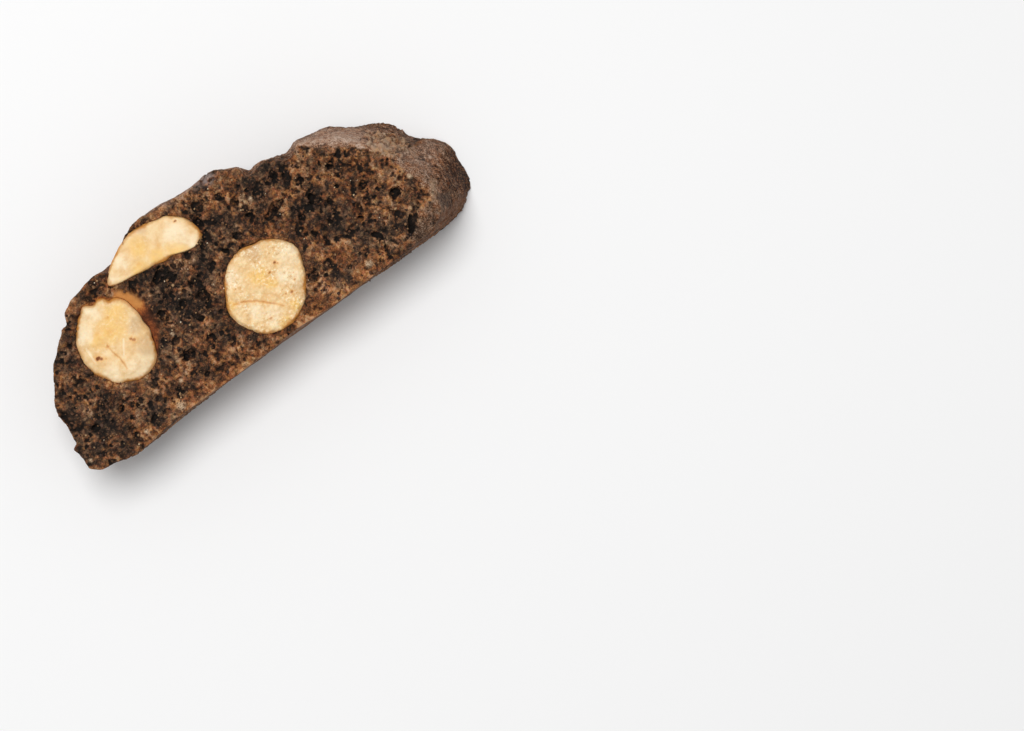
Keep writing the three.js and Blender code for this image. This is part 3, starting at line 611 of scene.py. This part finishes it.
# The crumb is painted darker in some zones and lighter in others: place seen from above, reach,
# and how much darker, with a minus sign for lighter.
tone_zones = ((13.0, 9.7, 4.0, 1.0), (-10.5, 0.5, 7.5, 0.8), (-12.5, 5.5, 4.5, 1.0),
         (2.0, 6.0, 4.5, 1.0), (-2.0, 5.4, 3.4, 1.6), (-4.0, 5.5, 4.0, 1.0),
         (15.5, 1.5, 4.5, 1.0), (16.6, -4.8, 3.3, 1.3), (18.5, -8.0, 4.0, 1.0),
         (25.5, -10.0, 3.0, 1.0), (21.6, -9.3, 2.8, 1.6), (-31.0, 4.5, 4.0, 0.8),
         (9.5, 8.5, 4.0, 1.0), (-35.5, -8.0, 3.0, 1.0), (-30.5, -8.5, 6.0, 1.0),
         (-23.6, -10.9, 4.0, 1.2), (-34.3, -3.2, 2.6, 0.7), (-35.6, -10.7, 2.6, 1.2),
         (-17.3, -4.1, 2.8, 1.3), (11.9, -10.9, 2.2, 1.2), (17.9, -2.4, 2.2, 1.2),
         (-11.9, -2.4, 2.4, 1.3), (-4.4, 0.4, 2.6, 1.1), (7.5, 0.8, 3.0, -0.8),
         (11.7, -5.1, 3.4, -0.8), (13.7, -7.8, 2.8, -1.2), (4.2, -9.6, 2.6, -0.8),
         (6.9, -11.4, 2.4, -1.0), (19.9, 0.4, 2.8, -0.9), (17.1, 2.4, 2.4, -0.8),
         (24.8, 1.2, 2.8, -1.0), (20.7, -4.4, 2.2, -0.8), (14.7, -12.9, 2.2, -0.6),
         (-11.1, -7.2, 2.4, -0.9), (-10.4, -11.9, 2.4, -1.0), (-20.8, -8.6, 2.4, -0.9),
         (-28.6, -7.3, 2.6, -0.9), (22.8, -1.6, 2.2, -0.6), (19.5, -12.0, 2.4, -0.8),
         (9.1, -8.8, 2.2, -0.8), (5.9, 10.4, 2.4, -0.7), (-26.3, -13.5, 2.4, -0.8),
         (-29.0, -11.6, 2.2, -0.6), (4.6, 2.9, 2.4, -0.7))
shade = np.zeros(len(points))
lightened = np.zeros(len(points))
for x, y, reach, darker in tone_zones:
    zone = spot(points + 1.4 * warp, x, y, reach) * abs(darker)
    if darker > 0:
        shade = np.maximum(shade, zone)
    else:
        lightened = np.maximum(lightened, zone)
shade -= lightened
# The crumb along the low edge is lighter, and it is darker at the worn end. Painted shade darkens
# the large holes.
low_edge = ramp(points[:, 1] + warp[:, 0], -10.5, -13.0) * ramp(points[:, 0], -26.0, -20.0)
shade -= 0.75 * low_edge * ramp(points[:, 0], 22.0, 19.0)
shade += worn + 0.30 * caved

# Flour dust and painted light on the right end's crust: near the top, where the crust faces the
# light, down the far side, and on the fold. The low lobe has none, and painted shade darkens it
# where it turns from the light. Where the crust bends over to the cut, there is less.
dust = ramp(points[:, 2], 8.0, 12.0) * ramp(points[:, 1] + warp[:, 0], -7.0, -1.0)
dust = np.maximum(dust, ramp(points[:, 2], 2.0, 6.0) * ramp(points[:, 1] + warp[:, 0], 2.0, 6.0))
dust = np.maximum(dust, 0.6 * spot(points + 0.8 * warp, 34.0, -2.4, 5.5))
dust *= ramp(points[:, 0], 14.0, 19.0)
dust *= 1 - 0.7 * wide * ramp(beyond, 1.1, 0.2)
lobe_shade = spot(points + 0.8 * warp, 37.8, -8.8, 5.6)
dust = np.maximum(0.50 * dust - 0.6 * lobe_shade, -0.34)
# A pale bloom of flour, with a painted sheen, lies on the loaf's edge above the half nut.
bloom = near_line(points + 0.5 * warp, [(4.4, 13.8), (1.0, 14.5), (-3.4, 15.0)], 1.3)
bloom = np.maximum(spot(points + 0.4 * warp, 3.9, 13.9, 1.7), 0.7 * bloom)
# Where each point lies round the loaf, for the skin's streaks, which run along it.
loaf_middle, loaf_radius = (14.0, -20.0), 20.0
away = points[:, :2] - loaf_middle

# The material reads these by name. crumb is 1 on open crumb and 0 on skin. fine, sunk and deep
# tell hillocks from hollows, and pit is a hole or a crack: the material paints the hollows, holes
# and cracks darker, as painted shade, and the hillocks lighter, as painted light. base is the
# side that lay on the tray, and warm is where the dough baked rusty. along and out are in
# millimetres.
shares = {
    "crumb": crumb * (1 - 0.35 * worn),
    "fine": np.clip(fine / 0.06, -1, 1),
    "sunk": np.clip(sunk / 0.25, -1, 1),
    "deep": np.clip(-low_ground / 0.6, 0, 1),
    "pit": np.clip(holes / 0.5, 0, 1) + 1.5 * split,
    "lip": lip,
    "shade": shade * upper_side * ramp(facing[:, 2], 0.2, 0.6),
    "base": base,
    "torn": 0.8 * torn,
    "ridge": ridge,
    "dust": dust * (1 - crumb) * (1 - 0.6 * worn),
    "bloom": bloom * ramp(points[:, 2] + warp[:, 1], 11.5, 13.0),
    "warm": np.maximum(spot(points, -16.9, 6.2, 4.6), 0.6 * spot(points, -22.3, 9.6, 3.0)),
    "oily": oily,
    "bits": bits,
    "along": np.arctan2(away[:, 1], away[:, 0]) * loaf_radius,
    "out": np.hypot(*away.T),
}
for name, values in shares.items():
    paint(slice_body, name, values)

# The slice is thinned. Most of its triangles stay on the upper face and its edge, where the
# crumb is seen best.
most_triangles = 197000
detail = slice_body.vertex_groups.new(name="detail")
upper = ramp(moved[:, 2], 0.5, 4.0) * ramp(facing[:, 2], -0.1, 0.3)
for step in range(1, 11):
    members = np.flatnonzero(np.round(upper * 10) == step)
    detail.add(members.tolist(), step / 11, "REPLACE")
slice_body.modifiers.new("split", "TRIANGULATE")
thin = slice_body.modifiers.new("thin", "DECIMATE")
thin.ratio = most_triangles / (2 * len(slice_body.data.polygons))
thin.vertex_group = "detail"
thin.vertex_group_factor = 2e-4
thin.invert_vertex_group = True
bake_modifiers(slice_body)
slice_body.vertex_groups.clear()
points = corners_of(slice_body)
points[:, 2] = np.maximum(points[:, 2], 0.0)
set_corners(slice_body, points)
slice_body.data.shade_smooth()


# Twice-baked cocoa dough: dry and matt, near black in its pores, where painted shade adds to the
# real shade, and rusty on its lumps. Its skin is greyer and lighter than the crumb, with fine
# streaks that run round the loaf. Grains of cocoa and flour are too fine to show, so their specks
# and grit are drawn 0.2 mm wide.
cocoa = new_material("baked_cocoa_dough")
place = add(cocoa, "TexCoord").outputs["Object"]
share = {name: add(cocoa, "Attribute", {"attribute_name": name}).outputs["Fac"]
         for name in shares}
# Each noise's grain in millimetres, its detail and its roughness.
specks, grit, tints, lumps, regions, patches = (
    add(cocoa, "TexNoise",
        {"Scale": 1 / (grain * MM), "Detail": detail, "Roughness": rough}, {"Vector": place})
    for grain, detail, rough in ((0.20, 2.0, 0.7), (0.22, 3.0, 0.75), (0.45, 3.0, 0.7),
                                 (0.8, 2.0, 0.55), (1.3, 3.0, 0.6), (3.2, 2.0, 0.55)))
patches = add(cocoa, "Clamp", {"Min": 0.40, "Max": 0.66}, {"Value": patches})
# The tone takes painted shade in hollows, holes and cracks (deep, pit) and painted light on
# hillocks (sunk, fine), with the painted shade and light of the shade zones.
tone = add(cocoa, "Math", {"operation": "MULTIPLY_ADD", 1: 0.80, 2: -0.782}, {0: specks})
for source, weight in ((lumps, 0.40), (patches, 1.40), (share["sunk"], 0.13),
                       (share["fine"], 0.045), (share["deep"], -0.20), (share["pit"], -0.10),
                       (share["shade"], -0.12), (share["torn"], 0.46)):
    tone = add(cocoa, "Math", {"operation": "MULTIPLY_ADD", 1: weight}, {0: source, 2: tone})
rusty = add(cocoa, "ValToRGB", {"stops": (
    (0.20, "#19100a"), (0.40, "#412716"), (0.58, "#774726"), (0.76, "#a3693d"),
    (0.96, "#c89668"))}, {"Fac": tone})
greyish = add(cocoa, "ValToRGB", {"stops": (
    (0.20, "#15100c"), (0.40, "#33261c"), (0.58, "#5c4432"), (0.76, "#836449"),
    (0.96, "#b39477"))}, {"Fac": tone})
tint = add(cocoa, "Math", {"operation": "MULTIPLY_ADD", 1: 1.4}, {0: regions, 2: tints})
for source in (share["shade"], share["torn"]):
    tint = add(cocoa, "Math", {"operation": "MULTIPLY_ADD", 1: -0.14}, {0: source, 2: tint})
tint = add(cocoa, "MapRange", {"From Min": 0.97, "From Max": 1.41}, {"Value": tint})
crumb_colour = add(cocoa, "Mix", {"data_type": "RGBA"},
                   {0: tint, 6: greyish, 7: rusty}).outputs[2]
# Some crumbs lean to olive and some to red.
olives = add(cocoa, "TexNoise",
             {"noise_dimensions": "4D", "W": 3.0, "Scale": 1 / (0.6 * MM), "Detail": 4.0,
              "Roughness": 0.7}, {"Vector": place})
olives = add(cocoa, "MapRange",
             {"From Min": 0.3, "From Max": 0.7, "To Min": 0.482, "To Max": 0.518},
             {"Value": olives})
crumb_colour = add(cocoa, "HueSaturation", {}, {"Color": crumb_colour, "Hue": olives})

# The skin's creases are flat and long, and its freckles lie along the loaf's curve.
stretch = add(cocoa, "Mapping",
              {"Scale": (1 / (3.0 * MM), 1 / (3.0 * MM), 1 / (1.1 * MM))}, {"Vector": place})
creases = add(cocoa, "TexNoise",
              {"noise_type": "RIDGED_MULTIFRACTAL", "Scale": 1.0, "Detail": 3.0,
               "Roughness": 0.65}, {"Vector": stretch})
creases = add(cocoa, "MapRange", {"From Min": 0.2, "From Max": 1.6}, {"Value": creases})
rise = add(cocoa, "SeparateXYZ", {}, {"Vector": place}).outputs["Z"]
rise_in_mm = add(cocoa, "Math", {"operation": "MULTIPLY", 1: 1 / MM}, {0: rise})
round_loaf = add(cocoa, "CombineXYZ", {},
                 {"X": share["along"], "Y": share["out"], "Z": rise_in_mm})
upright = add(cocoa, "Mapping", {"Scale": (1 / 0.70, 1 / 0.30, 1 / 0.26)}, {"Vector": round_loaf})
freckles = add(cocoa, "TexNoise",
               {"Scale": 1.0, "Detail": 2.0, "Roughness": 0.7}, {"Vector": upright})
# The skin is painted lighter towards the top and darker towards the foot of its side, as painted
# light from above. Its hollows and holes get painted shade and its hillocks painted light.
skin_tone = add(cocoa, "Math",
                {"operation": "MULTIPLY_ADD", 1: 0.22 / (thickness * MM), 2: -1.66}, {0: rise})
for source, weight in ((patches, 0.45), (lumps, 0.45), (freckles, 1.30), (specks, 1.90),
                       (share["sunk"], 0.20), (share["pit"], -0.25), (share["dust"], 0.40),
                       (share["base"], 0.10), (share["shade"], -0.08), (creases, 0.30)):
    skin_tone = add(cocoa, "Math", {"operation": "MULTIPLY_ADD", 1: weight},
                    {0: source, 2: skin_tone})
skin_colour = add(cocoa, "ValToRGB", {"stops": (
    (0.05, "#211811"), (0.28, "#49382b"), (0.50, "#7f5c44"), (0.74, "#ad8b71"),
    (1.0, "#cfb5a2"))}, {"Fac": skin_tone})
# The flat side that lay on the tray baked to an even brown.
even = add(cocoa, "Math", {"operation": "MULTIPLY", 1: 0.5}, {0: share["base"]})
skin_colour = add(cocoa, "Mix", {"data_type": "RGBA", 7: hue("#74543f")},
                  {0: even, 6: skin_colour}).outputs[2]
skin_colour = add(cocoa, "Mix",
                  {"data_type": "RGBA", "blend_type": "SOFT_LIGHT", 7: hue("#8f6a48")},
                  {0: tint, 6: skin_colour}).outputs[2]
skin_colour = add(cocoa, "Mix", {"data_type": "RGBA"},
                  {0: share["torn"], 6: skin_colour, 7: crumb_colour}).outputs[2]
# Flour dust and painted light pale the skin, more along its creases.
powder_and_light = add(cocoa, "Math", {"operation": "MULTIPLY_ADD", 1: 0.5, 2: 0.35}, {0: creases})
powder_and_light = add(cocoa, "Math", {"operation": "MULTIPLY"}, {0: share["dust"], 1: powder_and_light})
skin_colour = add(cocoa, "Mix", {"data_type": "RGBA", 7: hue("#b0a097")},
                  {0: powder_and_light, 6: skin_colour}).outputs[2]
rubbed = add(cocoa, "Math", {"operation": "MULTIPLY", 1: 0.25}, {0: share["ridge"]})
skin_colour = add(cocoa, "Mix", {"data_type": "RGBA", 7: hue("#a58a6c")},
                  {0: rubbed, 6: skin_colour}).outputs[2]
colour = add(cocoa, "Mix", {"data_type": "RGBA"},
             {0: share["crumb"], 6: skin_colour, 7: crumb_colour}).outputs[2]
# Nut oil yellows the dough, the lip is rust brown, and bits of nut and the bloom with its painted
# sheen lie on top.
oil = add(cocoa, "Math", {"operation": "MULTIPLY", 1: 0.45}, {0: share["oily"]})
colour = add(cocoa, "Mix",
             {"data_type": "RGBA", "blend_type": "SOFT_LIGHT", 7: hue("#ab8a2f")},
             {0: oil, 6: colour}).outputs[2]
rust = add(cocoa, "Math", {"operation": "MULTIPLY_ADD", 1: 0.8, 2: -0.41}, {0: tone})
for source, weight in ((share["warm"], 0.64), (share["lip"], 0.25)):
    rust = add(cocoa, "Math", {"operation": "MULTIPLY_ADD", 1: weight}, {0: source, 2: rust})
rust = add(cocoa, "ValToRGB", {"stops": (
    (0.10, "#4a2715"), (0.25, "#783f22"), (0.50, "#ae6530"), (0.75, "#cc8a4a"))},
           {"Fac": rust})
colour = add(cocoa, "Mix", {"data_type": "RGBA"},
             {0: share["lip"], 6: colour, 7: rust}).outputs[2]
bit_colour = add(cocoa, "ValToRGB", {"stops": (
    (0.35, "#8d6f55"), (0.50, "#b79878"), (0.65, "#d9c3a6"))}, {"Fac": specks})
colour = add(cocoa, "Mix", {"data_type": "RGBA"},
             {0: share["bits"], 6: colour, 7: bit_colour}).outputs[2]
broken = add(cocoa, "MapRange",
             {"From Min": 0.36, "From Max": 0.56, "To Max": 0.75}, {"Value": lumps})
floury_and_sheen = add(cocoa, "Math", {"operation": "MULTIPLY"}, {0: share["bloom"], 1: broken})
colour = add(cocoa, "Mix", {"data_type": "RGBA", 7: hue("#a3918a")},
             {0: floury_and_sheen, 6: colour}).outputs[2]
# Creases stand out on the skin alone, and grit twice as much there as on the crumb.
creased = add(cocoa, "Math", {"operation": "MULTIPLY_ADD", 1: -1.4, 2: 1.4}, {0: share["crumb"]})
gritty = add(cocoa, "Math", {"operation": "MULTIPLY_ADD", 1: -1.0, 2: 2.0}, {0: share["crumb"]})
grit = add(cocoa, "Math", {"operation": "MULTIPLY"}, {0: gritty, 1: grit})
relief = add(cocoa, "Math", {"operation": "MULTIPLY_ADD"}, {0: creased, 1: creases, 2: grit})
bump = add(cocoa, "Bump", {"Strength": 0.9, "Distance": 0.16 * MM}, {"Height": relief})
shader = add(cocoa, "BsdfPrincipled",
             {"Roughness": 0.82, "IOR": 1.45, "Specular IOR Level": 0.28},
             {"Base Color": colour, "Normal": bump})
add(cocoa, "OutputMaterial", {}, {"Surface": shader})
slice_body.data.materials.append(cocoa)
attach(slice_body, "root")
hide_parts("dough")


# ---------------------------------------------------------------- loose crumb and sugar
# Grains of dough that the knife left on the cut faces, and sugar crystals that did not melt.
# They sit half sunk in the crumb.

def painted(piece, name):
    values = np.empty(len(piece.data.vertices), np.float32)
    piece.data.attributes[name].data.foreach_get("value", values)
    return values


def scatter(name, spots, sizes, tones, rough, chance):
    """One mesh of small angular grains, each a jittered lump of twelve corners, twenty sides."""
    golden = (1 + 5 ** 0.5) / 2
    lump = np.array([(0, a, b * golden) for a in (-1, 1) for b in (-1, 1)], float)
    lump = np.concatenate([lump, np.roll(lump, 1, 1), np.roll(lump, 2, 1)]) / golden
    gaps = np.linalg.norm(lump[:, None] - lump[None], axis=2)
    near = gaps < 1.3  # corners that share a side are 1.24 apart
    sides = [(i, j, k) for i in range(12) for j in range(i) for k in range(j)
             if near[i, j] and near[j, k] and near[i, k]]
    # Each side's corners go round so that it faces outward.
    sides = [(i, j, k) if np.linalg.det(lump[[i, j, k]]) > 0 else (k, j, i) for i, j, k in sides]
    count = len(spots)
    shapes = lump[None] * (1 + chance.uniform(-rough, rough, (count, 12, 1)))
    shapes = shapes * chance.uniform(0.65, 1.25, (count, 1, 3))
    turns = np.linalg.qr(chance.normal(size=(count, 3, 3)))[0]
    shapes = np.einsum("nij,nkj->nki", turns, shapes) * sizes[:, None, None] + spots[:, None]
    corners = shapes.reshape(-1, 3) * MM
    mirrored = np.linalg.det(turns) < 0
    faces = [tuple(12 * n + c for c in (side[::-1] if mirrored[n] else side))
             for n in range(count) for side in sides]
    mesh = bpy.data.meshes.new(name)
    mesh.from_pydata(corners.tolist(), [], faces)
    piece = bpy.data.objects.new(name, mesh)
    bpy.context.scene.collection.objects.link(piece)
    paint(piece, "tone", np.repeat(tones, 12))
    return piece


# Grains lie in clear places of the two cut faces: on open crumb, away from nuts, holes and rim.
crust_points = corners_of(slice_body)
crust_normals = normals_of(slice_body)
free = (painted(slice_body, "crumb") > 0.7) & (painted(slice_body, "lip") < 0.2)
free &= (painted(slice_body, "oily") < 0.6) & (painted(slice_body, "pit") < 0.3)
free &= np.abs(crust_normals[:, 2]) > 0.5
free &= (crust_points[:, 2] > thickness - 2.0) | (crust_points[:, 2] < 2.0)
free &= rim_depth(crust_points) > 0.9
free = np.flatnonzero(free)

# Crumbs are 0.09 to 0.25 mm in radius, most of them small.
crumb_count = 1700
picked = chance.choice(free, crumb_count, replace=False)
sizes = 0.09 + 0.16 * chance.random(crumb_count) ** 2
spots = crust_points[picked] + crust_normals[picked] * sizes[:, None] * 0.25
spots[:, 2] = np.maximum(spots[:, 2], sizes * 1.7)
crumbs = scatter("loose_crumb", spots, sizes, chance.random(crumb_count), 0.22, chance)

# Crumbs of the same baked dough: dry and matt, most near black and a few tan.
crumb_grain = new_material("cocoa_crumb_grain")
tone = add(crumb_grain, "Attribute", {"attribute_name": "tone"})
tone = add(crumb_grain, "ValToRGB", {"stops": (
    (0.0, "#2e1d14"), (0.60, "#5d3d28"), (0.92, "#84603f"), (1.0, "#a88660"))},
    {"Fac": tone.outputs["Fac"]})
shader = add(crumb_grain, "BsdfPrincipled", {"Roughness": 0.7, "IOR": 1.45}, {"Base Color": tone})
add(crumb_grain, "OutputMaterial", {}, {"Surface": shader})
crumbs.data.materials.append(crumb_grain)
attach(crumbs, "root")

# Coarse sugar, in crystals 0.07 to 0.13 mm in radius.
crystal_count = 60
picked = chance.choice(free, crystal_count, replace=False)
sizes = chance.uniform(0.07, 0.13, crystal_count)
spots = crust_points[picked] + crust_normals[picked] * sizes[:, None] * 0.6
spots[:, 2] = np.maximum(spots[:, 2], sizes * 1.7)
crystals = scatter("sugar_crystals", spots, sizes, chance.random(crystal_count), 0.25, chance)

# Coarse cane sugar: hard glossy crystals, cream to amber, as butter and cocoa stained them.
sugar = new_material("sugar_crystal")
tone = add(sugar, "Attribute", {"attribute_name": "tone"})
tone = add(sugar, "ValToRGB", {"stops": (
    (0.0, "#a87f55"), (0.6, "#dcbf94"), (1.0, "#fbe9cc"))}, {"Fac": tone.outputs["Fac"]})
shader = add(sugar, "BsdfPrincipled",
             {"Roughness": 0.25, "IOR": 1.55, "Transmission Weight": 0.1},
             {"Base Color": tone})
add(sugar, "OutputMaterial", {}, {"Surface": shader})
crystals.data.materials.append(sugar)
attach(crystals, "root")


# ---------------------------------------------------------------- the floor, lights and camera
# A plain near-white table, a large soft light above and a little behind the slice's long
# side, and a pale room around it. The camera is a metre above the cut face and looks straight
# down, turned so that the slice lies from low left to high right.
floor_mesh = bpy.data.meshes.new("table")
floor_mesh.from_pydata([(-2, -2, 0), (2, -2, 0), (2, 2, 0), (-2, 2, 0)], [], [(0, 1, 2, 3)])
floor = bpy.data.objects.new("table", floor_mesh)
bpy.context.scene.collection.objects.link(floor)
# Board painted white: matt, so that it mirrors nothing of the slice.
table = new_material("white_table")
shader = add(table, "BsdfPrincipled", {"Base Color": hue("#f4f4f4"), "Roughness": 0.9})
add(table, "OutputMaterial", {}, {"Surface": shader})
floor_mesh.materials.append(table)

lamp_data = bpy.data.lights.new("softbox", "AREA")
lamp_data.shape = "DISK"
lamp_data.size = 0.45
lamp_data.energy = 4.7
lamp = bpy.data.objects.new("softbox", lamp_data)
lamp.location = (-0.02, 0.22, 0.80)
lamp.rotation_euler = (Vector((0, 0, 0.01)) - lamp.location).to_track_quat("-Z", "Y").to_euler()
bpy.context.scene.collection.objects.link(lamp)

room = bpy.data.worlds.new("room")
room.use_nodes = True
room.node_tree.nodes["Background"].inputs["Color"].default_value = (1, 1, 1, 1)
room.node_tree.nodes["Background"].inputs["Strength"].default_value = 0.44
bpy.context.scene.world = room
bpy.context.scene.view_settings.view_transform = "Standard"

film_width = 36.0  # millimetres
seen_width = 161.2  # millimetres of the cut face's plane across the frame
above_cut = 1000.0  # millimetres from the camera down to the cut face
camera_data = bpy.data.cameras.new("camera")
camera_data.sensor_width = film_width
camera_data.lens = film_width * above_cut / seen_width
camera = bpy.data.objects.new("camera", camera_data)
camera.location = (25.91 * MM, -38.04 * MM, (thickness + above_cut) * MM)
camera.rotation_euler = (0, 0, math.radians(-35.6))
bpy.context.scene.collection.objects.link(camera)
bpy.context.scene.camera = camera
